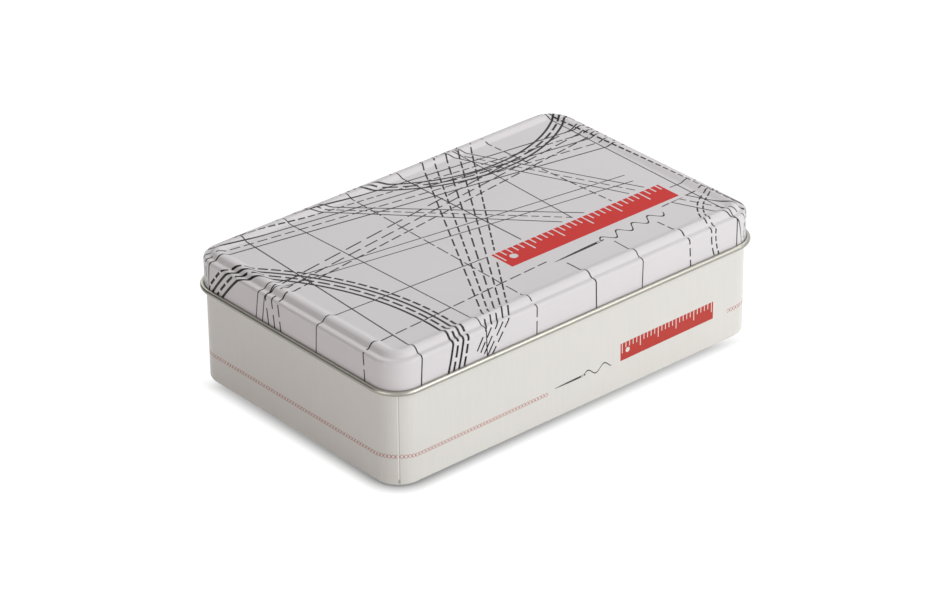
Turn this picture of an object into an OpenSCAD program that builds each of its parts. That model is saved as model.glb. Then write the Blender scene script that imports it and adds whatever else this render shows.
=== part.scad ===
// Attachment box: a rectangular tin of three sheets, with a lift-off lid.
// Origin: on the surface that the tin stands on, in the middle of its base.
// +X runs along the long side, -Y is the front, +Z is up.

/* [Body] */
// Outside length of the body's wall
body_l = 195; // [150:1:260]
// Outside width of the body's wall
body_w = 125; // [90:1:180]
// Height of the body's wall, to the top of its rolled mouth
body_h = 55.8; // [40:0.1:90]
// Outside radius of the four upright corners
corner_r = 11; // [10.5:0.5:24]
// Thickness of the wall's sheet
wall_t = 0.3; // [0.2:0.05:0.4]
// Outside diameter of the inward roll round the mouth
mouth_roll_d = 2; // [1.6:0.1:2.8]

/* [Bottom seam] */
// Outside radius of the wall's bend into the fold
hem_r = 1.2; // [1:0.1:1.8]
// Width of the fold, from the wall's outside inward
hem_w = 3.6; // [3.2:0.1:5]
// Length of the fold's upper leg, back over the plate's lip
hem_return = 1.1; // [0.7:0.1:1.3]
// Gap between the faces of the two sheets in the fold
seam_gap = 0.05; // [0.03:0.01:0.1]

/* [Base plate] */
// Thickness of the plate's sheet
plate_t = 0.3; // [0.2:0.05:0.4]
// Height of the plate's top face over the standing surface
plate_z = 3; // [2.4:0.1:5]
// Outside radius of the bend from the plate's rim to its flat
plate_bend_r = 0.8; // [0.6:0.1:1]
// Gap between the plate's lip and the turn of the fold that holds it
lip_gap = 0.2; // [0.1:0.05:0.4]

/* [Side seam] */
// Where the seam stands on its corner, in degrees from the short side's end of the bend
side_seam_at = 51; // [25:1:65]
// Width of the folded band on the inside
side_seam_w = 3.6; // [2.5:0.1:5]
// Thickness of the folded band
side_seam_t = 0.6; // [0.4:0.1:0.9]
// Width of the line between the two ends of the sheet, on the outside
seam_line_w = 0.3; // [0.2:0.05:0.5]
// Depth of that line
seam_line_depth = 0.12; // [0.05:0.01:0.15]
// Height of the relief that is cut in the seam above the bend at its foot
seam_relief_h = 1.6; // [1:0.1:3]
// Gap between the folded band and the base plate, and between it and the mouth's roll
side_seam_gap = 0.4; // [0.2:0.1:1]

/* [Lid] */
// Thickness of the lid's sheet
lid_t = 0.3; // [0.2:0.05:0.4]
// Gap between the lid's skirt and the body's wall, all round
lid_play = 0.4; // [0.2:0.05:0.8]
// Gap between the underside of the lid's ledge and the body's mouth
lid_rest_gap = 0.1; // [0.05:0.05:0.3]
// Height of the skirt and its roll, from the ledge's top down
skirt_h = 14.6; // [8:0.1:25]
// Outside diameter of the outward roll along the skirt's edge
roll_d = 2.2; // [1.8:0.1:3]
// How far round the roll turns, in degrees
roll_turn = 305; // [270:5:310]
// Outside radius of the shoulder between skirt and ledge
shoulder_r = 1.4; // [1:0.1:2]

/* [Raised ring on the lid] */
// Distance from the skirt's outside to the ring's crest
crest_in = 5.9; // [5.5:0.1:6.4]
// Height of the crest over the ledge
crest_rise = 2.2; // [1.8:0.1:2.8]
// Depth of the flat panel below the crest
panel_drop = 1.2; // [0.9:0.1:1.5]
// Steepest slope outside the crest, in degrees
rise_slope = 50; // [45:1:60]
// Steepest slope inside the crest, in degrees
fall_slope = 24; // [22:1:30]
// Radius of the hollow at the foot of the outer slope, in the middle of the sheet
foot_r = 1.2; // [1:0.1:1.4]
// Radius of the crest
crest_r = 2.4; // [2:0.1:2.6]
// Radius of the hollow where the inner slope meets the panel
panel_r = 3.5; // [3:0.1:4]

/* [Hidden] */
$fn = 96;
white_tin = [0.88, 0.87, 0.86];
print_white = [0.79, 0.78, 0.79];
plain_tin = [0.8, 0.78, 0.72];
bend_step = 10;            // degrees of bend between two points of an outline
edge_past = 1;             // how far a cutting shape runs past what it cuts
middle_r = 1;              // radius at a corner's axis that the flat middle fills

mouth_r = mouth_roll_d / 2;
roll_r = roll_d / 2;
skirt_out = lid_play + lid_t;              // skirt's outside, outward of the wall's
ledge_z = body_h + lid_rest_gap + lid_t;   // ledge's top
roll_z = ledge_z - skirt_h + roll_r;       // middle of the lid's roll
lid_l = body_l + 2 * skirt_out;
lid_w = body_w + 2 * skirt_out;
lid_r = corner_r + skirt_out;

// ---- Sheet metal outlines ----
// A sheet is a path in [inward, up] along the middle of its thickness.
// The path is a list of moves [length, turn]: a straight run has turn 0, and a bend has its
// middle radius as its length and its turn in degrees, positive to the left.

function steps(turn) = max(1, ceil(abs(turn) / bend_step));
function ahead(heading) = [cos(heading), sin(heading)];
function left_of(heading) = [-sin(heading), cos(heading)];
// Places [x, y, heading] along one move, from a given place
function along(at, move) = move[1] == 0
    ? [concat([at[0], at[1]] + move[0] * ahead(at[2]), [at[2]])]
    : let (side = sign(move[1]), hub = [at[0], at[1]] + side * move[0] * left_of(at[2]))
      [for (i = [1 : steps(move[1])])
          let (heading = at[2] + move[1] * i / steps(move[1]))
          concat(hub - side * move[0] * left_of(heading), [heading])];
function places(at, moves, i = 0) = i == len(moves)
    ? [at]
    : let (run = along(at, moves[i]))
      concat([at], [for (k = [0 : 1 : len(run) - 2]) run[k]], places(run[len(run) - 1], moves, i + 1));
function offset_side(path, by) = [for (p = path) [p[0], p[1]] + by * left_of(p[2])];
function turned_round(list) = [for (i = [len(list) - 1 : -1 : 0]) list[i]];
function sheet(at, moves, t) =
    let (path = places(at, moves))
    concat(offset_side(path, t / 2), turned_round(offset_side(path, -t / 2)));

// An outline in [inward, up], carried round a rectangle l by w with corners of radius r
module carried_round(l, w, r) {
    for (side = [0 : 3]) {
        along_x = side % 2 == 0;
        run = (along_x ? l : w) - 2 * r;
        reach = (along_x ? w : l) / 2;
        rotate([0, 0, 90 * side]) {
            translate([-run / 2, -reach, 0])
                rotate([90, 0, 90]) linear_extrude(run) children();
            translate([run / 2, r - reach, 0])
                rotate([0, 0, -90]) rotate_extrude(angle = 90) translate([r, 0]) mirror([1, 0]) children();
        }
    }
}

// The flat middle of a pan whose rim is carried round it, up to middle_r from each corner's axis
module flat_middle(l, w, r, top, t) {
    translate([0, 0, top - t]) linear_extrude(t) {
        square([l - 2 * r + 2 * middle_r, w - 2 * r], center = true);
        square([l - 2 * r, w - 2 * r + 2 * middle_r], center = true);
        for (x = [-1, 1], y = [-1, 1])
            translate([x * (l / 2 - r), y * (w / 2 - r)]) circle(middle_r);
    }
}

// ---- Body wall ----
hem_turn_r = (2 * wall_t + plate_t + 2 * seam_gap) / 2 - wall_t / 2;   // middle of the fold's turn
hem_run = hem_w - hem_r - hem_turn_r - wall_t / 2;

function wall_outline() = sheet(
    [hem_w - hem_turn_r - wall_t / 2 - hem_return, 2 * hem_turn_r + wall_t / 2, 0],
    [
        [hem_return, 0],
        [hem_turn_r, -180],
        [hem_run, 0],
        [hem_r - wall_t / 2, -90],
        [body_h - hem_r - mouth_r, 0],
        [mouth_r - wall_t / 2, -270]
    ],
    wall_t);

// A band of the near corner's wall, from one radius to another and between two heights
module corner_band(r_in, r_out, width, z_low, z_high) {
    degrees = width / r_out * 180 / PI;
    translate([corner_r - body_l / 2, corner_r - body_w / 2, z_low])
        rotate([0, 0, 180 + side_seam_at - degrees / 2])
            rotate_extrude(angle = degrees)
                translate([r_in, 0]) square([r_out - r_in, z_high - z_low]);
}

module body_wall() {
    wall_in = corner_r - wall_t;
    color(white_tin)
    difference() {
        union() {
            carried_round(body_l, body_w, corner_r) polygon(wall_outline());
            corner_band(wall_in - side_seam_t, wall_in + wall_t / 2, side_seam_w,
                plate_z + side_seam_gap, body_h - mouth_roll_d - side_seam_gap);
        }
        corner_band(corner_r - seam_line_depth, corner_r + edge_past, seam_line_w,
            hem_r + seam_relief_h, body_h - mouth_r);
        corner_band(wall_in - seam_gap / 2, corner_r + edge_past, seam_line_w * 2,
            hem_r, hem_r + seam_relief_h);
    }
}

// ---- Base plate ----
rim_in = wall_t + seam_gap;                         // rim's outside, inward of the wall's
lip_bend_r = hem_r - rim_in;                        // outside of the bend from lip to rim
lip_run = hem_w - wall_t - lip_gap - hem_r;
rim_run = plate_z - plate_bend_r - hem_r;

function plate_outline() = sheet(
    [hem_w - wall_t - lip_gap, wall_t + seam_gap + plate_t / 2, 180],
    [
        [lip_run, 0],
        [lip_bend_r - plate_t / 2, -90],
        [rim_run, 0],
        [plate_bend_r - plate_t / 2, -90],
        [corner_r - rim_in - plate_bend_r - middle_r, 0]
    ],
    plate_t);

module base_plate() {
    color(plain_tin)
    union() {
        carried_round(body_l, body_w, corner_r) polygon(plate_outline());
        flat_middle(body_l, body_w, corner_r, plate_z, plate_t);
    }
}

// ---- Lid ----
rise_run = (crest_rise - (foot_r + crest_r) * (1 - cos(rise_slope))) / sin(rise_slope);
fall_run = (panel_drop - (crest_r + panel_r) * (1 - cos(fall_slope))) / sin(fall_slope);
ring_start = crest_in - (foot_r + crest_r) * sin(rise_slope) - rise_run * cos(rise_slope);
ring_end = crest_in + (crest_r + panel_r) * sin(fall_slope) + fall_run * cos(fall_slope);
panel_z = ledge_z + crest_rise - panel_drop;       // panel's top
roll_mid_r = roll_r - lid_t / 2;
roll_hub = lid_t / 2 - roll_mid_r;                 // middle of the roll, inward of the skirt's outside

function lid_outline() = sheet(
    [
        roll_hub + roll_mid_r * cos(roll_turn),
        roll_z - roll_mid_r * sin(roll_turn),
        90 - roll_turn
    ],
    [
        [roll_mid_r, roll_turn],
        [ledge_z - shoulder_r - roll_z, 0],
        [shoulder_r - lid_t / 2, -90],
        [ring_start - shoulder_r, 0],
        [foot_r, rise_slope],
        [rise_run, 0],
        [crest_r, -rise_slope - fall_slope],
        [fall_run, 0],
        [panel_r, fall_slope],
        [lid_r - ring_end - middle_r, 0]
    ],
    lid_t);

module lid() {
    color(print_white)
    union() {
        carried_round(lid_l, lid_w, lid_r) polygon(lid_outline());
        flat_middle(lid_l, lid_w, lid_r, panel_z, lid_t);
    }
}

body_wall();
base_plate();
lid();
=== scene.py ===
import bpy
import math
from mathutils import Matrix, Vector


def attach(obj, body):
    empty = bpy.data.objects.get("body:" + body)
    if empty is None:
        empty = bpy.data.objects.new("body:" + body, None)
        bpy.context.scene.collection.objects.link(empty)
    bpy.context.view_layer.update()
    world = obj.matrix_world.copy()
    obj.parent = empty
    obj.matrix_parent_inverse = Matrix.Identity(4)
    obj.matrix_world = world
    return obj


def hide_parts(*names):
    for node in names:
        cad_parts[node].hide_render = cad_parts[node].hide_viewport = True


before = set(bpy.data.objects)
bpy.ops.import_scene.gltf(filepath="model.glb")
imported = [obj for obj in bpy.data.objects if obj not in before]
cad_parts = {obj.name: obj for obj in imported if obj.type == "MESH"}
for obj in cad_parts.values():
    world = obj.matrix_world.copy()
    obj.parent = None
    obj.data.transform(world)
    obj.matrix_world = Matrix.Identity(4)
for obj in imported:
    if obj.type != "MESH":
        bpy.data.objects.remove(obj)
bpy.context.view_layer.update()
mm = 0.001
sameWithin = 0.001 * mm             # places closer than this are the same
mergeWithin = 0.002 * mm            # points closer than this are one
mirrorWithin = 0.01 * mm            # and these, where the mirrored quarters meet
smoothBelow = math.radians(40)      # sharper edges than this stay sharp


def clearSelection():
    if bpy.context.object and bpy.context.object.mode != "OBJECT":
        bpy.ops.object.mode_set(mode="OBJECT")
    bpy.ops.object.select_all(action="DESELECT")


def workOn(piece):
    clearSelection()
    piece.select_set(True)
    bpy.context.view_layer.objects.active = piece


def pick(piece, kind, test):
    # leaves only the points or faces that pass the test selected, in edit mode
    workOn(piece)
    bpy.ops.object.mode_set(mode="EDIT")
    bpy.ops.mesh.select_mode(type="VERT" if kind == "points" else "FACE")
    bpy.ops.mesh.select_all(action="DESELECT")
    bpy.ops.object.mode_set(mode="OBJECT")
    for part in (piece.data.vertices if kind == "points" else piece.data.polygons):
        part.select = test(part)
    bpy.ops.object.mode_set(mode="EDIT")


def modify(piece, kind, **settings):
    workOn(piece)
    bpy.ops.object.modifier_add(type=kind)
    added = piece.modifiers[-1]
    for name, value in settings.items():
        setattr(added, name, value)
    bpy.ops.object.modifier_apply(modifier=added.name)


def faceOut(piece, way):
    # the face that lies furthest that way has to look that way
    workOn(piece)
    bpy.ops.object.mode_set(mode="EDIT")
    bpy.ops.mesh.select_all(action="SELECT")
    bpy.ops.mesh.remove_doubles(threshold=mergeWithin)
    bpy.ops.mesh.normals_make_consistent(inside=False)
    bpy.ops.object.mode_set(mode="OBJECT")
    furthest = max(piece.data.polygons, key=lambda face: face.center.dot(way))
    if furthest.normal.dot(way) < 0:
        bpy.ops.object.mode_set(mode="EDIT")
        bpy.ops.mesh.flip_normals()
        bpy.ops.object.mode_set(mode="OBJECT")


def finishPiece(piece, body, node, material):
    workOn(piece)
    bpy.ops.object.shade_smooth_by_angle(angle=smoothBelow)
    piece.data.materials.clear()
    piece.data.materials.append(material)
    for face in piece.data.polygons:
        face.material_index = 0
    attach(piece, body)
    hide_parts(node)


# Sheet metal is a section drawn at a corner, spun round the corner and carried along the sides.
# A move is (length, 0) for a straight run or (radius, turn) for a bend, in mm and degrees.
leastBendSteps = 3


def drawSection(plan, cornerX, start, heading, moves):
    y, z = start[0] - plan["width"] / 2, start[1]
    for length, turn in moves:
        ahead = math.radians(heading)
        if turn == 0:
            stepY, stepZ = length * math.cos(ahead), length * math.sin(ahead)
            bpy.ops.mesh.extrude_region_move(
                TRANSFORM_OT_translate={"value": (0, stepY * mm, stepZ * mm)})
            y, z = y + stepY, z + stepZ
            continue
        reach = math.copysign(length, turn)
        hubY, hubZ = y - reach * math.sin(ahead), z + reach * math.cos(ahead)
        bpy.ops.mesh.spin(steps=max(leastBendSteps, math.ceil(abs(turn) / plan["bendStep"])),
                          angle=-math.radians(turn), axis=(1, 0, 0),
                          center=(cornerX * mm, hubY * mm, hubZ * mm))
        heading += turn
        ahead = math.radians(heading)
        y, z = hubY + reach * math.sin(ahead), hubZ - reach * math.cos(ahead)


def sheetAround(name, plan, start, heading, moves):
    clearSelection()
    cornerX = plan["length"] / 2 - plan["corner"]
    cornerY = plan["corner"] - plan["width"] / 2
    bpy.ops.mesh.primitive_plane_add(
        size=mm, location=(cornerX * mm, (start[0] - plan["width"] / 2) * mm, start[1] * mm))
    bpy.ops.object.transform_apply(location=True, rotation=True, scale=True)
    piece = bpy.context.object
    piece.name = piece.data.name = name
    bpy.ops.object.mode_set(mode="EDIT")
    bpy.ops.mesh.select_mode(type="VERT")
    bpy.ops.mesh.select_all(action="SELECT")
    bpy.ops.mesh.merge(type="CENTER")
    drawSection(plan, cornerX, start, heading, moves)
    bpy.ops.mesh.select_all(action="SELECT")
    bpy.ops.mesh.spin(steps=plan["cornerSteps"], angle=-math.radians(90), axis=(0, 0, 1),
                      center=(cornerX * mm, cornerY * mm, 0))
    bpy.ops.mesh.extrude_region_move(TRANSFORM_OT_translate={"value": (0, -cornerY * mm, 0)})
    # the points of the section as it was drawn, at the corner's other end
    pick(piece, "points", lambda point: abs(point.co.x - cornerX * mm) < sameWithin
         and point.co.y < cornerY * mm)
    bpy.ops.mesh.extrude_region_move(TRANSFORM_OT_translate={"value": (-cornerX * mm, 0, 0)})
    modify(piece, "MIRROR", use_axis=(True, True, False), merge_threshold=mirrorWithin)
    return piece


def thicken(piece, thickness):
    # the new side takes the second material slot, and the edge as well
    piece.data.materials.append(bpy.data.materials.new("outside"))
    piece.data.materials.append(bpy.data.materials.new("inside"))
    modify(piece, "SOLIDIFY", thickness=thickness * mm, offset=0, use_even_offset=False,
           material_offset=1, material_offset_rim=1)


def splitSides(piece, otherName):
    # the printed side stays, and the bare side becomes a piece of its own
    pick(piece, "faces", lambda face: face.material_index > 0)
    bpy.ops.mesh.separate(type="SELECTED")
    bpy.ops.object.mode_set(mode="OBJECT")
    other = next(o for o in bpy.context.selected_objects if o is not piece)
    other.name = other.data.name = otherName
    return other


# The body, in mm and degrees. "mouth" is the radius of its roll.
wall = {
    "length": 195, "width": 125, "corner": 11, "bendStep": 10, "cornerSteps": 20,
    "sheet": 0.3, "height": 55.8, "mouth": 1.0, "bareBelowMouth": 3.2,
    # the fold at the foot, which holds the plate: its faces that look up below hemTop are bare
    "hemBend": 1.2, "hemWidth": 3.6, "hemReturn": 1.1, "hemTop": 0.25, "gap": 0.05,
    "plate": 0.3, "plateTop": 3,
    # the side seam, and the folded band behind it
    "seamAt": 51, "seamLine": 0.3, "seamDepth": 0.12, "relief": 1.6,
    # how far the cuts run past the sheet's outside, behind its inside and into each other
    "cutPast": 1, "cutBehind": 0.05, "cutOverlap": 0.1,
    "foldWidth": 3.6, "foldThick": 0.6, "foldGap": 0.4, "foldRound": 0.18,
    "foldSteps": 6, "foldRoundSteps": 3,
}
seamTurn = math.radians(180 + wall["seamAt"])
nearHub = (wall["corner"] - wall["length"] / 2, wall["corner"] - wall["width"] / 2, 0)


def seamCutter(width, depthFrom, depthTo, low, high):
    middle = (depthFrom + depthTo) / 2
    clearSelection()
    bpy.ops.mesh.primitive_cube_add(
        size=1, rotation=(0, 0, seamTurn),
        location=((nearHub[0] + middle * math.cos(seamTurn)) * mm,
                  (nearHub[1] + middle * math.sin(seamTurn)) * mm, (low + high) / 2 * mm),
        scale=((depthTo - depthFrom) * mm, width * mm, (high - low) * mm))
    bpy.ops.object.transform_apply(location=True, rotation=True, scale=True)
    return bpy.context.object


def makeWall():
    half = wall["sheet"] / 2
    turnR = (2 * wall["sheet"] + wall["plate"] + 2 * wall["gap"]) / 2 - half
    run = wall["hemWidth"] - wall["hemBend"] - turnR - half
    start = (wall["hemWidth"] - turnR - half - wall["hemReturn"], 2 * turnR + half)
    piece = sheetAround("wallPrint", wall, start, 0, [
        (wall["hemReturn"], 0),
        (turnR, -180),
        (run, 0),
        (wall["hemBend"] - half, -90),
        (wall["height"] - wall["hemBend"] - wall["mouth"], 0),
        (wall["mouth"] - half, -270),
    ])
    faceOut(piece, Vector((0, -1, 0)))
    # an edge loop where the white print stops below the mouth
    workOn(piece)
    bpy.ops.object.mode_set(mode="EDIT")
    bpy.ops.mesh.select_all(action="SELECT")
    stop = wall["height"] - wall["bareBelowMouth"]
    bpy.ops.mesh.bisect(plane_co=(0, 0, stop * mm), plane_no=(0, 0, 1))
    thicken(piece, wall["sheet"])
    for face in piece.data.polygons:
        inHem = face.center.z < wall["hemTop"] * mm and face.normal.z > 0
        if face.center.z > stop * mm or inHem:
            face.material_index = 1
    # the relief goes right through the sheet, and the line above it is only a shallow groove
    outer = wall["corner"] + wall["cutPast"]
    reliefTop = wall["hemBend"] + wall["relief"]
    cuts = [
        seamCutter(wall["seamLine"] * 2, wall["corner"] - wall["sheet"] - wall["cutBehind"],
                   outer, wall["hemBend"], reliefTop),
        seamCutter(wall["seamLine"], wall["corner"] - wall["seamDepth"], outer,
                   reliefTop - wall["cutOverlap"], wall["height"] - wall["mouth"]),
    ]
    for cutter in cuts:
        modify(piece, "BOOLEAN", operation="DIFFERENCE", object=cutter, solver="EXACT")
        bpy.data.objects.remove(cutter)
    return piece, splitSides(piece, "wallTin")


def makeSeamFold():
    # the folded band of the side seam, inside the near corner, from the plate to the mouth's roll
    outer = wall["corner"] - wall["sheet"]
    middle = outer - wall["foldThick"] / 2
    sweep = wall["foldWidth"] / outer
    angle = seamTurn - sweep / 2
    hub = Vector(nearHub) * mm
    low = wall["plateTop"] + wall["foldGap"]
    high = wall["height"] - 2 * wall["mouth"] - wall["foldGap"]
    clearSelection()
    bpy.ops.mesh.primitive_plane_add(
        size=1, rotation=(math.pi / 2, 0, angle),
        location=hub + Vector((middle * math.cos(angle), middle * math.sin(angle),
                               (low + high) / 2)) * mm)
    piece = bpy.context.object
    piece.name = piece.data.name = "seamFold"
    piece.scale = (wall["foldThick"] * mm, (high - low) * mm, 1)
    bpy.ops.object.transform_apply(location=True, rotation=True, scale=True)
    bpy.ops.object.mode_set(mode="EDIT")
    bpy.ops.mesh.select_all(action="SELECT")
    bpy.ops.mesh.spin(steps=wall["foldSteps"], angle=-sweep, axis=(0, 0, 1), center=hub)
    faceOut(piece, Vector((0, 0, 1)))
    modify(piece, "BEVEL", width=wall["foldRound"] * mm, segments=wall["foldRoundSteps"],
           limit_method="ANGLE")
    return piece


# The lid, in mm and degrees. It goes round the wall with some play, and its ledge rests on the
# mouth. "roll" is the radius of the bead along the skirt's edge.
lid = {
    "play": 0.4, "restGap": 0.1, "bendStep": 9, "cornerSteps": 20,
    "sheet": 0.3, "skirt": 14.6, "shoulder": 1.4,
    "roll": 1.1, "rollTurn": 305, "bareOverRoll": 0.02,
    "crestIn": 5.9, "crestRise": 2.2, "panelDrop": 1.2, "riseSlope": 50, "fallSlope": 24,
    "foot": 1.2, "crest": 2.4, "hollow": 3.5, "flatEdge": 1.2, "levelWithin": 0.05,
}
outward = lid["play"] + lid["sheet"]
lid["length"] = wall["length"] + 2 * outward
lid["width"] = wall["width"] + 2 * outward
lid["corner"] = wall["corner"] + outward
lid["ledgeTop"] = wall["height"] + lid["restGap"] + lid["sheet"]


def makeLid():
    rise, fall = math.radians(lid["riseSlope"]), math.radians(lid["fallSlope"])
    up, down = lid["foot"] + lid["crest"], lid["crest"] + lid["hollow"]
    riseRun = (lid["crestRise"] - up * (1 - math.cos(rise))) / math.sin(rise)
    fallRun = (lid["panelDrop"] - down * (1 - math.cos(fall))) / math.sin(fall)
    ringStart = lid["crestIn"] - up * math.sin(rise) - riseRun * math.cos(rise)
    rollMiddle = lid["roll"] - lid["sheet"] / 2
    rollZ = lid["ledgeTop"] - lid["skirt"] + lid["roll"]
    turn = math.radians(lid["rollTurn"])
    start = (lid["sheet"] / 2 - rollMiddle + rollMiddle * math.cos(turn),
             rollZ - rollMiddle * math.sin(turn))
    piece = sheetAround("lidPrint", lid, start, 90 - lid["rollTurn"], [
        (rollMiddle, lid["rollTurn"]),
        (lid["ledgeTop"] - lid["shoulder"] - rollZ, 0),
        (lid["shoulder"] - lid["sheet"] / 2, -90),
        (ringStart - lid["shoulder"], 0),
        (lid["foot"], lid["riseSlope"]),
        (riseRun, 0),
        (lid["crest"], -lid["riseSlope"] - lid["fallSlope"]),
        (fallRun, 0),
        (lid["hollow"], lid["fallSlope"]),
        (lid["flatEdge"], 0),
    ])
    # the panel closes the loop that lies furthest in
    panelZ = lid["ledgeTop"] + lid["crestRise"] - lid["panelDrop"] - lid["sheet"] / 2
    ringEnd = lid["crestIn"] + down * math.sin(fall) + fallRun * math.cos(fall)
    edgeX = lid["length"] / 2 - ringEnd - lid["flatEdge"] / 2
    edgeY = lid["width"] / 2 - ringEnd - lid["flatEdge"] / 2
    pick(piece, "points", lambda point: abs(point.co.z - panelZ * mm) < lid["levelWithin"] * mm
         and abs(point.co.x) < edgeX * mm and abs(point.co.y) < edgeY * mm)
    bpy.ops.mesh.edge_face_add()
    faceOut(piece, Vector((0, 0, 1)))
    thicken(piece, lid["sheet"])
    # the print stops where the skirt turns into the roll
    stop = (rollZ + lid["bareOverRoll"]) * mm
    for face in piece.data.polygons:
        if face.center.z < stop:
            face.material_index = 1
    return piece, splitSides(piece, "lidTin")


print("lid")
lidPrint, lidTin = makeLid()
print("body")
wallPrint, wallTin = makeWall()
seamFold = makeSeamFold()


# Shorthands for nodes: each takes numbers or sockets and gives a socket back.

def feed(tree, socket, value):
    if isinstance(value, bpy.types.NodeSocket):
        tree.links.new(value, socket)
    else:
        socket.default_value = value


def calc(tree, operation, *values):
    made = tree.nodes.new("ShaderNodeMath")
    made.operation = operation
    for socket, value in zip(made.inputs, values):
        feed(tree, socket, value)
    return made.outputs[0]


def allOf(tree, *masks):
    shared = masks[0]
    for mask in masks[1:]:
        shared = calc(tree, "MULTIPLY", shared, mask)
    return shared


def between(tree, value, low, high):
    return allOf(tree, calc(tree, "GREATER_THAN", value, low),
                 calc(tree, "LESS_THAN", value, high))


def vector(tree, operation, *values):
    made = tree.nodes.new("ShaderNodeVectorMath")
    made.operation = operation
    for socket, value in zip(made.inputs, values):
        feed(tree, socket, value)
    return made.outputs["Value" if operation in ("LENGTH", "DOT_PRODUCT") else "Vector"]


def scaled(tree, value, factor):
    made = tree.nodes.new("ShaderNodeVectorMath")
    made.operation = "SCALE"
    feed(tree, made.inputs[0], value)
    feed(tree, made.inputs["Scale"], factor)
    return made.outputs[0]


def apart(tree, value):
    made = tree.nodes.new("ShaderNodeSeparateXYZ")
    feed(tree, made.inputs[0], value)
    return made.outputs


def together(tree, x, y, z):
    made = tree.nodes.new("ShaderNodeCombineXYZ")
    for socket, value in zip(made.inputs, (x, y, z)):
        feed(tree, socket, value)
    return made.outputs[0]


def blendColours(tree, share, first, second):
    made = tree.nodes.new("ShaderNodeMix")
    made.data_type = "RGBA"
    for number, value in ((0, share), (6, first), (7, second)):      # its share and colours
        feed(tree, made.inputs[number], value)
    return made.outputs[2]


def varied(tree, share, colour, change):
    # from a little darker than the colour to a little lighter
    darker, lighter = ([min(1, part * factor) for part in colour[:3]] + [1]
                       for factor in (1 - change, 1 + change))
    return blendColours(tree, share, darker, lighter)


def noise(tree, place, scale, detail, rough):
    made = tree.nodes.new("ShaderNodeTexNoise")
    feed(tree, made.inputs["Vector"], place)
    made.inputs["Scale"].default_value = scale
    made.inputs["Detail"].default_value = detail
    made.inputs["Roughness"].default_value = rough
    return made.outputs["Fac"]


def objectPlace(tree):
    # millimetres from the middle of the base
    return scaled(tree, tree.nodes.new("ShaderNodeTexCoord").outputs["Object"], 1 / mm)


def newGroup(name, inputs, outputs):
    tree = bpy.data.node_groups.new(name, "ShaderNodeTree")
    for label, start in inputs.items():
        kind = "Float" if isinstance(start, (int, float)) else "Vector"
        socket = tree.interface.new_socket(label, in_out="INPUT", socket_type="NodeSocket" + kind)
        socket.default_value = start
    for label, kind in outputs.items():
        tree.interface.new_socket(label, in_out="OUTPUT", socket_type="NodeSocket" + kind)
    given = tree.nodes.new("NodeGroupInput").outputs
    return tree, given, tree.nodes.new("NodeGroupOutput").inputs


def placeGroup(tree, group, **values):
    made = tree.nodes.new("ShaderNodeGroup")
    made.node_tree = group
    for label, value in values.items():
        feed(tree, made.inputs[label], value)
    return made.outputs


def newMaterial(name):
    made = bpy.data.materials.new(name)
    made.use_nodes = True
    return made, made.node_tree, made.node_tree.nodes["Principled BSDF"].inputs


# How the print and the tin take the grain: how much the roughness changes over the surface,
# how far the bumps stand out in mm, and how close the slow waves of the sheet are.
surface = {
    "roughChange": 0.1, "tinRoughChange": 0.16, "bumps": 0.25, "waves": 0.03,
    "grainNoise": {"scale": 1, "detail": 4, "rough": 0.62},
    "waveNoise": {"scale": 1, "detail": 1, "rough": 0.4},
    "markNoise": {"scale": 0.045, "detail": 5, "rough": 0.7},
}


def roughAndBumpy(tree, shader, sheet, share, roughness, change, grainHeight):
    feed(tree, shader["Roughness"],
         calc(tree, "MULTIPLY_ADD", share, change, roughness - change / 2))
    height = calc(tree, "MULTIPLY_ADD", sheet["Waves"], 1,
                  calc(tree, "MULTIPLY", sheet["Shade"], grainHeight))
    made = tree.nodes.new("ShaderNodeBump")
    made.inputs["Strength"].default_value = 1
    made.inputs["Distance"].default_value = surface["bumps"] * mm
    feed(tree, made.inputs["Height"], height)
    feed(tree, shader["Normal"], made.outputs[0])


# Pattern groups, all in millimetres. Rows of thin lines side by side, dashed or not, may spread
# like a fan. "Solid" makes every second row a full line, and the dashes grow from row to row,
# then start again.
rowInputs = {"Length": 50.0, "Rows": 1.0, "Spacing": 3.0, "Spread": 0.0, "Width": 0.3,
             "Dash": 1.0, "Gap": 0.0, "Solid": 0.0}
dashGrowth = 0.35
rowsToGrow = 3


def makeDashedRows():
    tree, given, out = newGroup("dashedRows", {"Along": 0.0, "Across": 0.0, **rowInputs},
                                {"Mask": "Float"})
    spacing = calc(tree, "MULTIPLY_ADD", given["Spread"], given["Along"], given["Spacing"])
    last = calc(tree, "SUBTRACT", given["Rows"], 1)
    row = calc(tree, "ROUND", calc(tree, "DIVIDE", given["Across"], spacing))
    row = calc(tree, "MINIMUM", calc(tree, "MAXIMUM", row, 0), last)
    off = calc(tree, "ABSOLUTE",
               calc(tree, "SUBTRACT", given["Across"], calc(tree, "MULTIPLY", row, spacing)))
    line = calc(tree, "LESS_THAN", off, calc(tree, "MULTIPLY", given["Width"], 0.5))
    dashAndGap = calc(tree, "ADD", given["Dash"], given["Gap"])
    share = calc(tree, "DIVIDE", given["Dash"], dashAndGap)
    everySecond = calc(tree, "SUBTRACT", 1, calc(tree, "MODULO", row, 2))
    share = calc(tree, "MULTIPLY_ADD", given["Solid"], everySecond, share)
    inCycle = calc(tree, "MODULO", row, rowsToGrow)
    stretch = calc(tree, "MULTIPLY_ADD", inCycle, dashGrowth, 1)
    period = calc(tree, "MULTIPLY", dashAndGap, stretch)
    dash = calc(tree, "LESS_THAN",
                calc(tree, "FRACT", calc(tree, "DIVIDE", given["Along"], period)), share)
    feed(tree, out["Mask"],
         allOf(tree, line, between(tree, given["Along"], 0, given["Length"]), dash))
    return tree


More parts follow.
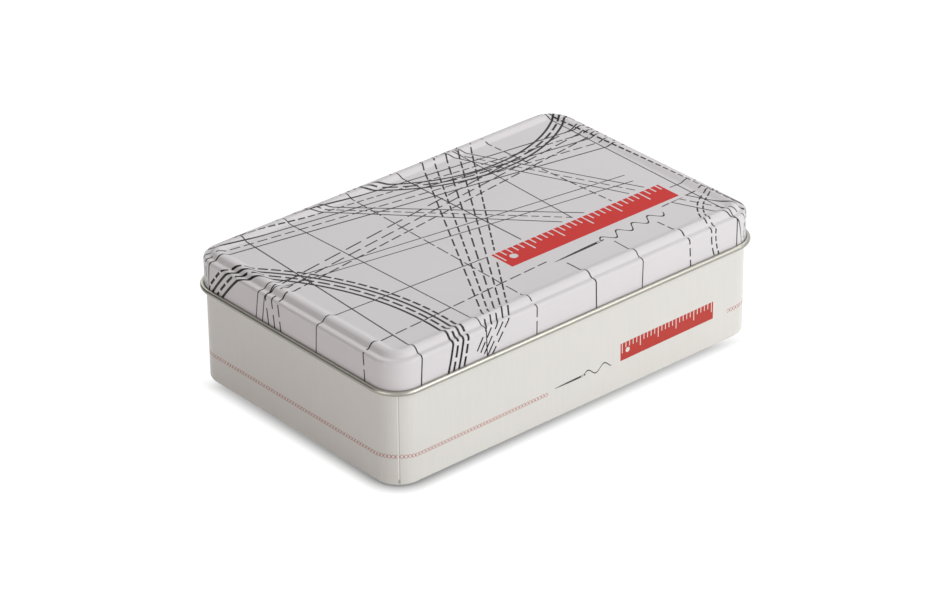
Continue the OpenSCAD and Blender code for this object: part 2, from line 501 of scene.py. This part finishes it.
def alongAcross(tree, place, start, way):
    # distances along and across a direction, from a start
    rest = vector(tree, "SUBTRACT", place, start)
    across = apart(tree, vector(tree, "CROSS_PRODUCT", way, rest))["Z"]
    return vector(tree, "DOT_PRODUCT", rest, way), across


def makeStraightLines(rows):
    tree, given, out = newGroup(
        "straightLines", {"Flat": (0, 0, 0), "Start": (0, 0, 0), "Way": (1, 0, 0), **rowInputs},
        {"Mask": "Float"})
    along, across = alongAcross(tree, given["Flat"], given["Start"], given["Way"])
    passed = {label: given[label] for label in rowInputs}
    feed(tree, out["Mask"], placeGroup(tree, rows, Along=along, Across=across, **passed)["Mask"])
    return tree


def makeCurvedLines(rows):
    tree, given, out = newGroup(
        "curvedLines", {"Flat": (0, 0, 0), "Centre": (0, 0, 0), "Radius": 20.0, "Start": 0.0,
                        **rowInputs}, {"Mask": "Float"})
    rest = vector(tree, "MULTIPLY",
                  vector(tree, "SUBTRACT", given["Flat"], given["Centre"]), (1, 1, 0))
    parts = apart(tree, rest)
    angle = calc(tree, "SUBTRACT", calc(tree, "ARCTAN2", parts["Y"], parts["X"]), given["Start"])
    angle = calc(tree, "WRAP", angle, 2 * math.pi, 0)
    along = calc(tree, "MULTIPLY", angle, given["Radius"])
    across = calc(tree, "SUBTRACT", vector(tree, "LENGTH", rest), given["Radius"])
    passed = {label: given[label] for label in rowInputs}
    feed(tree, out["Mask"], placeGroup(tree, rows, Along=along, Across=across, **passed)["Mask"])
    return tree


# A strip of measuring tape: bare ticks from its upper edge, every fifth one longer, and a round
# hole near its start. The sizes are shares of the strip's height, and a tick's half width is a
# share of the step from tick to tick.
tapeShape = {"tickThin": 0.11, "tickLow": 0.68, "longEvery": 5, "longer": 0.26, "hole": 0.14}


def makeTapeStrip():
    tree, given, out = newGroup(
        "tapeStrip", {"Flat": (0, 0, 0), "Start": (0, 0, 0), "Way": (1, 0, 0), "Length": 60.0,
                      "Height": 8.0, "Tick": 2.5}, {"Mask": "Float"})
    along, across = alongAcross(tree, given["Flat"], given["Start"], given["Way"])
    inside = allOf(tree, between(tree, along, 0, given["Length"]),
                   between(tree, across, 0, given["Height"]))
    count = calc(tree, "DIVIDE", along, given["Tick"])
    fromTick = calc(tree, "ABSOLUTE", calc(tree, "SUBTRACT", calc(tree, "FRACT", count), 0.5))
    thin = calc(tree, "LESS_THAN", fromTick, tapeShape["tickThin"])
    inFive = calc(tree, "MODULO", calc(tree, "FLOOR", count), tapeShape["longEvery"])
    low = calc(tree, "MULTIPLY", given["Height"], calc(
        tree, "MULTIPLY_ADD", calc(tree, "LESS_THAN", inFive, 0.5), -tapeShape["longer"],
        tapeShape["tickLow"]))
    tick = allOf(tree, thin, calc(tree, "GREATER_THAN", across, low))
    middle = calc(tree, "MULTIPLY", given["Height"], 0.5)
    fromHole = vector(tree, "LENGTH", together(tree, calc(tree, "SUBTRACT", along, middle),
                                               calc(tree, "SUBTRACT", across, middle), 0))
    hole = calc(tree, "LESS_THAN", fromHole,
                calc(tree, "MULTIPLY", given["Height"], tapeShape["hole"]))
    bare = calc(tree, "MAXIMUM", tick, hole)
    feed(tree, out["Mask"], allOf(tree, inside, calc(tree, "SUBTRACT", 1, bare)))
    return tree


# A sewing needle with an eye, and the thread that leaves it in waves. The eye's place and half
# length and the thread's start are shares of the needle's length, and the half widths of the
# eye and the thread are shares of its thickness.
needleShape = {"bluntness": 6, "eyeAt": 0.9, "eyeLong": 0.045, "eyeWide": 0.16,
               "threadFrom": 0.93, "threadWide": 0.24, "waveTurn": 0.7}


def makeNeedle():
    tree, given, out = newGroup(
        "needleAndThread", {"Flat": (0, 0, 0), "Start": (0, 0, 0), "Way": (1, 0, 0),
                            "Needle": 22.0, "Thick": 1.1, "Thread": 20.0, "Wave": 2.0},
        {"Mask": "Float"})
    along, across = alongAcross(tree, given["Flat"], given["Start"], given["Way"])
    share = calc(tree, "DIVIDE", along, given["Needle"])
    # the needle's half thickness is a tapering curve, thin at the point
    taper = calc(tree, "SQRT", calc(tree, "MAXIMUM", calc(
        tree, "MULTIPLY", share,
        calc(tree, "SUBTRACT", 1, calc(tree, "POWER", share, needleShape["bluntness"]))), 0))
    halfThick = calc(tree, "MULTIPLY", calc(tree, "MULTIPLY", given["Thick"], 0.5), taper)
    away = calc(tree, "ABSOLUTE", across)
    body = allOf(tree, calc(tree, "LESS_THAN", away, halfThick),
                 calc(tree, "GREATER_THAN", share, 0))
    eyeWide = calc(tree, "MULTIPLY", given["Thick"], needleShape["eyeWide"])
    eye = allOf(tree, calc(tree, "COMPARE", share, needleShape["eyeAt"], needleShape["eyeLong"]),
                calc(tree, "LESS_THAN", away, eyeWide))
    body = allOf(tree, body, calc(tree, "SUBTRACT", 1, eye))
    past = calc(tree, "SUBTRACT", along,
                calc(tree, "MULTIPLY", given["Needle"], needleShape["threadFrom"]))
    wave = calc(tree, "MULTIPLY", given["Wave"],
                calc(tree, "SINE", calc(tree, "MULTIPLY", past, needleShape["waveTurn"])))
    thread = calc(tree, "LESS_THAN", calc(tree, "ABSOLUTE", calc(tree, "SUBTRACT", across, wave)),
                  calc(tree, "MULTIPLY", given["Thick"], needleShape["threadWide"]))
    run = between(tree, past, 0, given["Thread"])
    feed(tree, out["Mask"], calc(tree, "MAXIMUM", body, allOf(tree, thread, run)))
    return tree


def makeSheetGrain():
    # the grain, the slow waves and the faint marks of rolled sheet
    tree, given, out = newGroup("sheetGrain", {"Stretch": (1, 1, 0.05), "Waves": 0.02},
                                {"Shade": "Float", "Waves": "Float", "Marks": "Float"})
    place = objectPlace(tree)
    stretched = vector(tree, "MULTIPLY", place, given["Stretch"])
    slow = scaled(tree, place, given["Waves"])
    feed(tree, out["Shade"], noise(tree, stretched, **surface["grainNoise"]))
    feed(tree, out["Waves"], noise(tree, slow, **surface["waveNoise"]))
    feed(tree, out["Marks"], noise(tree, place, **surface["markNoise"]))
    return tree


dashedRows = makeDashedRows()
straightLines = makeStraightLines(dashedRows)
curvedLines = makeCurvedLines(dashedRows)
tapeStrip = makeTapeStrip()
needleAndThread = makeNeedle()
sheetGrain = makeSheetGrain()


def wayAt(degrees):
    return (math.cos(math.radians(degrees)), math.sin(math.radians(degrees)), 0)


def drawLines(tree, flat, straight, curved):
    drawn = None
    columns = list(rowInputs)
    for x, y, degrees, *row in straight:
        mask = placeGroup(tree, straightLines, Flat=flat, Start=(x, y, 0), Way=wayAt(degrees),
                          **dict(zip(columns, row)))["Mask"]
        drawn = mask if drawn is None else calc(tree, "MAXIMUM", drawn, mask)
    columns.remove("Spread")
    for x, y, radius, degrees, *row in curved:
        mask = placeGroup(tree, curvedLines, Flat=flat, Centre=(x, y, 0), Radius=radius,
                          Start=math.radians(degrees), **dict(zip(columns, row)))["Mask"]
        drawn = calc(tree, "MAXIMUM", drawn, mask)
    return drawn


# The lid's print is the lines of a pattern sheet on pearl white.
lidLook = {
    "white": (0.672, 0.649, 0.662, 1), "ink": (0.008, 0.007, 0.009, 1),
    "red": (0.56, 0.012, 0.008, 1), "roughness": 0.36, "gloss": 0.16,
    "grain": (0.9, 0.9, 0.9), "grainHeight": 0.012, "whiteChange": 0.025,
    "inkLeast": 0.94, "inkChange": 0.1,
    "tape": {"x": -11, "y": -34, "length": 92, "height": 13, "ticks": 29, "bareEdge": 2.0},
    "needleAt": (4, -42.5, 0), "needleTurn": 2,
    "needle": {"Needle": 28, "Thick": 1.9, "Thread": 36, "Wave": 2.3},
    "bareStart": (2, -41.1, 0), "bareStrip": {"Length": 67, "Width": 10.5},
    # x, y, degrees, length, rows, spacing, spread, width, dash, gap, solid
    "straight": [
        (-84, -77, 87, 160, 1, 3.0, 0, 0.66, 1, 0, 0),
        (-50, -77, 92, 160, 1, 3.0, 0, 0.56, 1, 0, 0),
        (-24, -77, 89, 160, 1, 3.0, 0, 0.58, 7.0, 1.6, 0),
        (8, -77, 91, 160, 1, 3.0, 0, 0.66, 1, 0, 0),
        (33, -77, 88, 160, 1, 3.0, 0, 0.56, 1, 0, 0),
        (60, -77, 93, 160, 1, 3.0, 0, 0.68, 4.0, 1.6, 0),
        (86, -77, 89, 160, 1, 3.0, 0, 0.56, 1, 0, 0),
        (-112, -46, 3, 225, 1, 3.0, 0, 0.68, 6.0, 1.8, 0),
        (-112, -16, -3, 225, 1, 3.0, 0, 0.56, 1, 0, 0),
        (-48, -77, 55, 200, 5, 2.2, 0.022, 0.74, 4.6, 1.7, 0),
        (-112, 54, -10, 225, 5, 3.2, 0.010, 0.72, 3.4, 1.3, 1),
        (-112, 6, 7, 225, 3, 3.8, 0.006, 0.74, 5.4, 1.9, 0),
        (-60, 77, -47, 150, 3, 1.6, 0.02, 0.66, 2.4, 1.1, 1),
        (103, -77, 91, 160, 4, 3.0, 0.004, 0.7, 3.2, 1.2, 1),
        (-112, 18, -9, 190, 2, 4.0, 0.012, 0.56, 1, 0, 0),
        (24, 77, -66, 170, 3, 2.6, 0.012, 0.62, 3.0, 1.2, 1),
    ],
    # x, y, radius, degrees, length, rows, spacing, width, dash, gap, solid
    "curved": [
        (-178, -46, 112, 320, 200, 4, 2.6, 1.1, 3.8, 1.2, 1),
        (44, 112, 74, 185, 220, 3, 2.6, 1.05, 4.6, 1.5, 1),
        (100, -66, 26, 60, 130, 2, 2.4, 0.7, 2.6, 1.1, 0),
    ],
}


def makeLaidFlat():
    # the lid's outside laid out flat: the skirt carries on outward from the edge
    tree, given, out = newGroup("laidFlat", {"Place": (0, 0, 0)}, {"Flat": "Vector"})
    anyHeight = 1000      # over the whole tin, so that heights don't count
    core = (lid["length"] / 2 - lid["corner"], lid["width"] / 2 - lid["corner"], anyHeight)
    beyond = vector(tree, "MAXIMUM", vector(tree, "SUBTRACT", vector(
        tree, "ABSOLUTE", given["Place"]), core), (0, 0, 0))
    way = vector(tree, "MULTIPLY", vector(tree, "NORMALIZE", beyond),
                 vector(tree, "SIGN", given["Place"]))
    drop = calc(tree, "MAXIMUM", calc(
        tree, "SUBTRACT", lid["ledgeTop"], apart(tree, given["Place"])["Z"]), 0)
    flat = vector(tree, "ADD", given["Place"], scaled(tree, way, drop))
    feed(tree, out["Flat"], vector(tree, "MULTIPLY", flat, (1, 1, 0)))
    return tree


def makeLidPrint():
    made, tree, shader = newMaterial("lidPrint")
    flat = placeGroup(tree, makeLaidFlat(), Place=objectPlace(tree))["Flat"]
    sheet = placeGroup(tree, sheetGrain, Stretch=lidLook["grain"], Waves=surface["waves"])
    ink = drawLines(tree, flat, lidLook["straight"], lidLook["curved"])
    # the lines stop short of the tape and of the needle
    tape, way = lidLook["tape"], wayAt(lidLook["needleTurn"])
    edge = tape["bareEdge"]
    aroundTape = placeGroup(
        tree, straightLines, Flat=flat, Way=(1, 0, 0),
        Start=(tape["x"] - edge, tape["y"] + tape["height"] / 2, 0),
        Length=tape["length"] + 2 * edge, Width=tape["height"] + 2 * edge)["Mask"]
    aroundNeedle = placeGroup(tree, straightLines, Flat=flat, Start=lidLook["bareStart"],
                              Way=way, **lidLook["bareStrip"])["Mask"]
    bare = calc(tree, "MAXIMUM", aroundTape, aroundNeedle)
    ink = allOf(tree, ink, calc(tree, "SUBTRACT", 1, bare))
    needle = placeGroup(tree, needleAndThread, Flat=flat, Start=lidLook["needleAt"], Way=way,
                        **lidLook["needle"])["Mask"]
    ink = calc(tree, "MAXIMUM", ink, needle)
    red = placeGroup(tree, tapeStrip, Flat=flat, Start=(tape["x"], tape["y"], 0), Way=(1, 0, 0),
                     Length=tape["length"], Height=tape["height"],
                     Tick=tape["length"] / tape["ticks"])["Mask"]
    paper = varied(tree, sheet["Marks"], lidLook["white"], lidLook["whiteChange"])
    worn = allOf(tree, ink, calc(tree, "MULTIPLY_ADD", sheet["Shade"], lidLook["inkChange"],
                                 lidLook["inkLeast"]))
    colour = blendColours(tree, worn, paper, lidLook["ink"])
    feed(tree, shader["Base Color"], blendColours(tree, red, colour, lidLook["red"]))
    shader["Specular IOR Level"].default_value = lidLook["gloss"]
    roughAndBumpy(tree, shader, sheet, sheet["Marks"], lidLook["roughness"],
                  surface["roughChange"], lidLook["grainHeight"])
    return made


# The body's print is satin white with a fine upright grain and a line of red cross stitches.
wallLook = {
    "white": (0.664, 0.65, 0.617, 1), "red": (0.425, 0.018, 0.008, 1),
    "ink": (0.04, 0.036, 0.04, 1), "stitchRed": (0.34, 0.015, 0.002, 1),
    "roughness": 0.42, "gloss": 0.4,
    "grain": (2.2, 2.2, 0.05), "grainHeight": 0.01, "whiteChange": 0.07, "grainShare": 0.7,
    # the middle's height, half a cross's height, and the steps and shift of the crosses
    "stitchZ": 12.6, "stitchHigh": 0.88, "stitchPitch": 1.687815, "stitchShift": -0.6219,
    "stitchSlope": 2.65, "stitchWidth": 0.22,      # of a cross's arms
    "cornerRise": 0.75,      # the line of stitches stands a little higher round the near corner
    "gapFrom": -17.6, "gapTo": 82,
    "drift": 0.0083, "driftFrom": -75,      # the print climbs a little towards the right
    # the tape and the needle, which show on the front alone, up to this depth behind it
    "frontDepth": 2, "tapeAt": (22, 12.2, 0), "tape": {"Length": 52, "Height": 8, "Tick": 2.0},
    "needleAt": (-14, 13.6, 0),
    "needle": {"Needle": 17, "Thick": 1.2, "Thread": 15, "Wave": 1.4},
    # the side seam: its painted highlight along the edge and the painted shade of the gap beside
    # it, each from and to across the seam, and the painted shade round the relief at its foot
    "highlightLine": (-0.4, 0.06), "seamShade": (0.06, 0.4), "seamDeep": 1.5,
    "highlightColour": (0.84, 0.82, 0.78, 1), "paintedShade": (0.2, 0.19, 0.17, 1),
    "shadeShare": 0.32, "holeShadeShare": 0.5, "holeShadeReach": 0.75, "holeShadeBehind": 1.2,
    "holeShadeHeight": 0.6, "holeShadeSquash": 0.6,
}


def driftOf(tree, x):
    past = calc(tree, "MAXIMUM", calc(tree, "SUBTRACT", x, wallLook["driftFrom"]), 0)
    return calc(tree, "MULTIPLY", past, wallLook["drift"])


def makeCrossStitches():
    # distance round the wall from the middle of each corner, then a cross at each step
    tree, given, out = newGroup("crossStitches", {"Place": (0, 0, 0)}, {"Mask": "Float"})
    coreX, coreY = wall["length"] / 2 - wall["corner"], wall["width"] / 2 - wall["corner"]
    away = vector(tree, "ABSOLUTE", given["Place"])
    beyond = apart(tree, vector(
        tree, "MAXIMUM", vector(tree, "SUBTRACT", away, (coreX, coreY, 0)), (0, 0, 0)))
    apartAway, at = apart(tree, away), apart(tree, given["Place"])
    halfCorner = math.pi / 4
    angle = calc(tree, "SUBTRACT", calc(tree, "ARCTAN2", beyond["Y"], beyond["X"]), halfCorner)
    onLong = calc(tree, "SUBTRACT", coreX, calc(tree, "MINIMUM", apartAway["X"], coreX))
    onShort = calc(tree, "SUBTRACT", coreY, calc(tree, "MINIMUM", apartAway["Y"], coreY))
    around = calc(tree, "MULTIPLY_ADD", angle, wall["corner"],
                  calc(tree, "SUBTRACT", onLong, onShort))
    count = calc(tree, "DIVIDE", calc(tree, "ADD", around, wallLook["stitchShift"]),
                 wallLook["stitchPitch"])
    aside = calc(tree, "ABSOLUTE", calc(tree, "SUBTRACT", calc(tree, "FRACT", count), 0.5))
    # the height over the line of stitches, which climbs and rises round the near corner
    nearCorner = allOf(tree, calc(tree, "LESS_THAN", at["X"], 0),
                       calc(tree, "LESS_THAN", at["Y"], 0))
    fromMiddle = calc(tree, "DIVIDE", angle, halfCorner)
    rise = allOf(tree, nearCorner, calc(
        tree, "SUBTRACT", 1, calc(tree, "MULTIPLY", fromMiddle, fromMiddle)))
    level = calc(tree, "SUBTRACT", calc(tree, "SUBTRACT", at["Z"], driftOf(tree, at["X"])),
                 calc(tree, "MULTIPLY", rise, wallLook["cornerRise"]))
    high = calc(tree, "ABSOLUTE", calc(tree, "DIVIDE", calc(
        tree, "SUBTRACT", level, wallLook["stitchZ"]), wallLook["stitchHigh"]))
    arms = calc(tree, "COMPARE", high, calc(tree, "MULTIPLY", aside, wallLook["stitchSlope"]),
                wallLook["stitchWidth"])
    cross = allOf(tree, arms, calc(tree, "LESS_THAN", high, 1))
    inGap = allOf(tree, between(tree, at["X"], wallLook["gapFrom"], wallLook["gapTo"]),
                  calc(tree, "LESS_THAN", at["Y"], 0))
    feed(tree, out["Mask"], allOf(tree, cross, calc(tree, "SUBTRACT", 1, inGap)))
    return tree


def makeSideSeam():
    # a painted highlight along the sheet's edge, and painted shade in the gap beside it and round
    # the relief hole, by the distance across the seam
    tree, given, out = newGroup("sideSeam", {"Place": (0, 0, 0)},
                                {"Highlight": "Float", "Shade": "Float", "HoleShade": "Float"})
    along, across = alongAcross(tree, given["Place"], nearHub,
                                (math.cos(seamTurn), math.sin(seamTurn), 0))
    onCorner = calc(tree, "GREATER_THAN", along, wall["corner"] - wallLook["seamDeep"])
    high = apart(tree, given["Place"])["Z"]
    reliefTop = wall["hemBend"] + wall["relief"]
    # the painted highlight along the seam's edge
    edge = allOf(tree, onCorner, between(tree, across, *wallLook["highlightLine"]))
    feed(tree, out["Highlight"], allOf(tree, edge, calc(tree, "GREATER_THAN", high, reliefTop)))
    # painted shade round the relief hole at the foot of the seam
    overRelief = calc(tree, "SUBTRACT", high,
                      wall["hemBend"] + wall["relief"] * wallLook["holeShadeHeight"])
    fromFoot = vector(tree, "LENGTH", together(
        tree, across, calc(tree, "MULTIPLY", overRelief, wallLook["holeShadeSquash"]), 0))
    holeShade = calc(tree, "MAXIMUM", calc(
        tree, "SUBTRACT", 1, calc(tree, "DIVIDE", fromFoot, wallLook["holeShadeReach"])), 0)
    holeShade = allOf(tree, onCorner, calc(tree, "MULTIPLY", holeShade, wallLook["holeShadeShare"]))
    # where the plate behind the relief hole takes painted shade
    feed(tree, out["HoleShade"], allOf(
        tree, onCorner, calc(tree, "LESS_THAN", fromFoot, wallLook["holeShadeBehind"])))
    # painted shade in the gap beside the seam
    gap = allOf(tree, onCorner, between(tree, across, *wallLook["seamShade"]))
    feed(tree, out["Shade"], calc(
        tree, "MAXIMUM", calc(tree, "MULTIPLY", gap, wallLook["shadeShare"]), holeShade))
    return tree


sideSeam = makeSideSeam()


def makeWallPrint():
    made, tree, shader = newMaterial("wallPrint")
    place = objectPlace(tree)
    at = apart(tree, place)
    sheet = placeGroup(tree, sheetGrain, Stretch=wallLook["grain"], Waves=surface["waves"])
    stitches = placeGroup(tree, makeCrossStitches(), Place=place)["Mask"]
    front = calc(tree, "LESS_THAN", at["Y"], wallLook["frontDepth"] - wall["width"] / 2)
    flat = together(tree, at["X"], calc(tree, "SUBTRACT", at["Z"], driftOf(tree, at["X"])), 0)
    tape = allOf(tree, front, placeGroup(
        tree, tapeStrip, Flat=flat, Start=wallLook["tapeAt"], Way=(1, 0, 0),
        **wallLook["tape"])["Mask"])
    needle = allOf(tree, front, placeGroup(
        tree, needleAndThread, Flat=flat, Start=wallLook["needleAt"], Way=(1, 0, 0),
        **wallLook["needle"])["Mask"])
    share = wallLook["grainShare"]
    grain = calc(tree, "MULTIPLY_ADD", sheet["Shade"], share,
                 calc(tree, "MULTIPLY", sheet["Marks"], 1 - share))
    seam = placeGroup(tree, sideSeam, Place=place)
    colour = varied(tree, grain, wallLook["white"], wallLook["whiteChange"])
    # the seam's painted highlight and painted shade go on over the print
    for mask, paint in ((stitches, "stitchRed"), (seam["Highlight"], "highlightColour"),
                        (seam["Shade"], "paintedShade"), (tape, "red"), (needle, "ink")):
        colour = blendColours(tree, mask, colour, wallLook[paint])
    feed(tree, shader["Base Color"], colour)
    shader["Specular IOR Level"].default_value = wallLook["gloss"]
    roughAndBumpy(tree, shader, sheet, sheet["Marks"], wallLook["roughness"],
                  surface["roughChange"], wallLook["grainHeight"])
    return made


# Bare tinplate with a thin gold lacquer: the grain runs along the lid and the plate, and up the
# wall. Only the plate has painted shade behind the relief at the foot of the side seam.
tinLook = {
    "lidTin": {"colour": (0.325, 0.317, 0.283), "roughness": 0.36, "grain": (0.08, 2.4, 2.4)},
    "wallTin": {"colour": (0.58, 0.56, 0.5), "roughness": 0.3, "grain": (2.4, 2.4, 0.08)},
    "plateTin": {"colour": (0.55, 0.51, 0.42), "roughness": 0.32, "grain": (0.08, 2.4, 2.4),
                 "paintedShade": (0.4, 0.39, 0.36, 1)},
    "colourChange": 0.18, "grainShare": 0.6, "grainHeight": 0.015,
}


def makeTin(name):
    made, tree, shader = newMaterial(name)
    look, share = tinLook[name], tinLook["grainShare"]
    sheet = placeGroup(tree, sheetGrain, Stretch=look["grain"], Waves=surface["waves"])
    shade = calc(tree, "MULTIPLY_ADD", sheet["Shade"], share,
                 calc(tree, "MULTIPLY", sheet["Marks"], 1 - share))
    tin = varied(tree, shade, look["colour"], tinLook["colourChange"])
    # painted shade on the plate behind the relief hole at the foot of the side seam
    if "paintedShade" in look:
        shadeBehindSeam = placeGroup(tree, sideSeam, Place=objectPlace(tree))["HoleShade"]
        tin = blendColours(tree, shadeBehindSeam, tin, look["paintedShade"])
    feed(tree, shader["Base Color"], tin)
    shader["Metallic"].default_value = 1
    roughAndBumpy(tree, shader, sheet, shade, look["roughness"], surface["tinRoughChange"],
                  tinLook["grainHeight"])
    return made


print("materials")
finishPiece(lidPrint, "lid", "lid", makeLidPrint())
finishPiece(lidTin, "lid", "lid", makeTin("lidTin"))
finishPiece(wallPrint, "tin", "body_wall", makeWallPrint())
wallBare = makeTin("wallTin")
finishPiece(wallTin, "tin", "body_wall", wallBare)
finishPiece(seamFold, "tin", "body_wall", wallBare)
plateBare = makeTin("plateTin")
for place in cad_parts["base_plate"].material_slots:
    place.material = plateBare


# The camera, in degrees and mm, with its nearest and furthest sight in m.
view = {
    "azimuth": -40.75, "elevation": 29.08, "roll": -0.594, "distance": 1682.7,
    "target": (-8.21, -7.59, 30.0), "focalPixels": 4120.0, "imageWidth": 950, "sensor": 36.0,
    "nearest": 0.05, "furthest": 20,
}


def addCamera():
    turn, rise, tilt = (math.radians(view[k]) for k in ("azimuth", "elevation", "roll"))
    back = Vector((math.cos(rise) * math.sin(turn), -math.cos(rise) * math.cos(turn),
                   math.sin(rise)))
    right = Vector((-back.y, back.x, 0)).normalized()
    up = back.cross(right)
    side = right * math.cos(tilt) + up * math.sin(tilt)
    top = -right * math.sin(tilt) + up * math.cos(tilt)
    lens = bpy.data.cameras.new("camera")
    lens.sensor_width = view["sensor"]
    lens.lens = view["focalPixels"] / view["imageWidth"] * view["sensor"]
    lens.clip_start, lens.clip_end = view["nearest"], view["furthest"]
    camera = bpy.data.objects.new("camera", lens)
    bpy.context.scene.collection.objects.link(camera)
    place = (Vector(view["target"]) + back * view["distance"]) * mm
    turned = Matrix((side, top, back)).transposed().to_4x4()
    camera.matrix_world = Matrix.Translation(place) @ turned
    bpy.context.scene.camera = camera


studio = {
    "world": 0.12,      # the white surroundings' light, for all rays but those that show them
    "target": (0, 0, 0.03),      # what all the lamps point at, in m
    # name, place and size in m, watts, colour
    "lamps": [
        ("keyLamp", (0.75, -1.25, 0.95), 0.9, 14.5, (1, 1, 1)),
        ("leftLamp", (-1.5, -0.2, 0.5), 0.9, 7.0, (1, 0.925, 0.895)),
        ("frontLamp", (0.2, -1.6, 0.24), 0.8, 10.0, (1, 1, 1)),
        ("backLamp", (0.1, 1.5, 0.9), 0.9, 6.0, (1, 1, 1)),
        ("highLamp", (0.84, 0.27, 1.22), 0.7, 8.2, (1, 1, 1)),
    ],
}


def addLamps():
    for name, place, size, watts, colour in studio["lamps"]:
        light = bpy.data.lights.new(name, "AREA")
        light.shape = "SQUARE"
        light.size = size
        light.energy = watts
        light.color = colour
        lamp = bpy.data.objects.new(name, light)
        lamp.location = place
        back = Vector(place) - Vector(studio["target"])
        lamp.rotation_euler = back.to_track_quat("Z", "Y").to_euler()
        bpy.context.scene.collection.objects.link(lamp)


def addWorld():
    world = bpy.data.worlds.new("studio")
    bpy.context.scene.world = world
    world.use_nodes = True
    tree = world.node_tree
    tree.nodes.clear()
    path = tree.nodes.new("ShaderNodeLightPath").outputs
    seen = calc(tree, "MAXIMUM", path["Is Camera Ray"], path["Is Glossy Ray"])
    seen = calc(tree, "MAXIMUM", seen, path["Is Transmission Ray"])
    sky = tree.nodes.new("ShaderNodeBackground")
    sky.inputs["Color"].default_value = (1, 1, 1, 1)
    feed(tree, sky.inputs["Strength"],
         calc(tree, "MULTIPLY_ADD", seen, 1 - studio["world"], studio["world"]))
    out = tree.nodes.new("ShaderNodeOutputWorld")
    tree.links.new(sky.outputs[0], out.inputs["Surface"])


# White paper that glows for the camera, with the tin's contact shadow painted into the glow. The
# painted shadow is deepest at the near corner, and fades out past the left and right corners.
floorLook = {
    "size": 6, "below": 0.0002,      # in m
    "paper": (0.85, 0.85, 0.85, 1), "paperSeen": (0.1, 0.1, 0.1, 1), "roughness": 0.9,
    "glow": 0.99, "glossGlow": 0.4,
    "shadowReach": 0.0071, "shadowDepth": 1.25, "deepest": 0.4,      # the reach in m
    "shadowWay": (-0.54, -0.842, 0), "shadowTurn": -2, "fadeFrom": 5, "fadeTo": 17,
    "farShadow": 0.83, "nearShadow": 0.0044,
}


def paintedContactShadow(tree):
    near = tree.nodes.new("ShaderNodeAmbientOcclusion")
    near.inputs["Distance"].default_value = floorLook["shadowReach"]
    clear = calc(tree, "POWER", near.outputs["AO"], floorLook["shadowDepth"])
    clear = calc(tree, "MAXIMUM", clear, floorLook["deepest"])
    towards = vector(tree, "DOT_PRODUCT", objectPlace(tree), floorLook["shadowWay"])
    fade = tree.nodes.new("ShaderNodeMapRange")
    fade.interpolation_type = "SMOOTHSTEP"
    feed(tree, fade.inputs["Value"], calc(
        tree, "ABSOLUTE", calc(tree, "SUBTRACT", towards, floorLook["shadowTurn"])))
    fade.inputs["From Min"].default_value = floorLook["fadeFrom"]
    fade.inputs["From Max"].default_value = floorLook["fadeTo"]
    depth = calc(tree, "MULTIPLY_ADD", calc(tree, "ABSOLUTE", towards), floorLook["nearShadow"],
                 floorLook["farShadow"])
    return allOf(tree, calc(tree, "SUBTRACT", 1, clear),
                 allOf(tree, depth, fade.outputs["Result"]))


def addFloor():
    clearSelection()
    bpy.ops.mesh.primitive_plane_add(size=floorLook["size"], location=(0, 0, 0))
    floor = bpy.context.object
    floor.name = "floor"
    floor.location.z = -floorLook["below"]
    made, tree, shader = newMaterial("floorPaper")
    path = tree.nodes.new("ShaderNodeLightPath").outputs
    feed(tree, shader["Base Color"], blendColours(
        tree, path["Is Camera Ray"], floorLook["paper"], floorLook["paperSeen"]))
    shader["Roughness"].default_value = floorLook["roughness"]
    shader["Specular IOR Level"].default_value = 0
    shader["Emission Color"].default_value = (1, 1, 1, 1)
    # the painted contact shadow darkens the glow
    lit = calc(tree, "SUBTRACT", 1, paintedContactShadow(tree))
    seen = calc(tree, "MAXIMUM", path["Is Camera Ray"], path["Is Transmission Ray"])
    glow = calc(tree, "MULTIPLY", allOf(tree, lit, seen), floorLook["glow"])
    feed(tree, shader["Emission Strength"], calc(
        tree, "MULTIPLY_ADD", path["Is Glossy Ray"], floorLook["glossGlow"], glow))
    floor.data.materials.append(made)


# A dark card that only gloss shows, for the rolled edge. Place and size are in m.
cardLook = {"place": (-0.62, 0.8, 0.42), "size": (1.5, 0.8), "colour": (0.04, 0.036, 0.028, 1)}


def addCard():
    clearSelection()
    bpy.ops.mesh.primitive_plane_add(
        size=1, location=cardLook["place"],
        rotation=Vector(cardLook["place"]).to_track_quat("Z", "Y").to_euler())
    card = bpy.context.object
    card.name = "darkCard"
    card.scale = (*cardLook["size"], 1)
    for rays in ("camera", "diffuse", "shadow", "transmission"):
        setattr(card, "visible_" + rays, False)
    made, tree, shader = newMaterial("darkCard")
    shader["Base Color"].default_value = cardLook["colour"]
    shader["Specular IOR Level"].default_value = 0
    card.data.materials.append(made)


print("camera and studio")
addCamera()
addLamps()
addWorld()
addFloor()
addCard()
bpy.context.scene.view_settings.view_transform = "Standard"
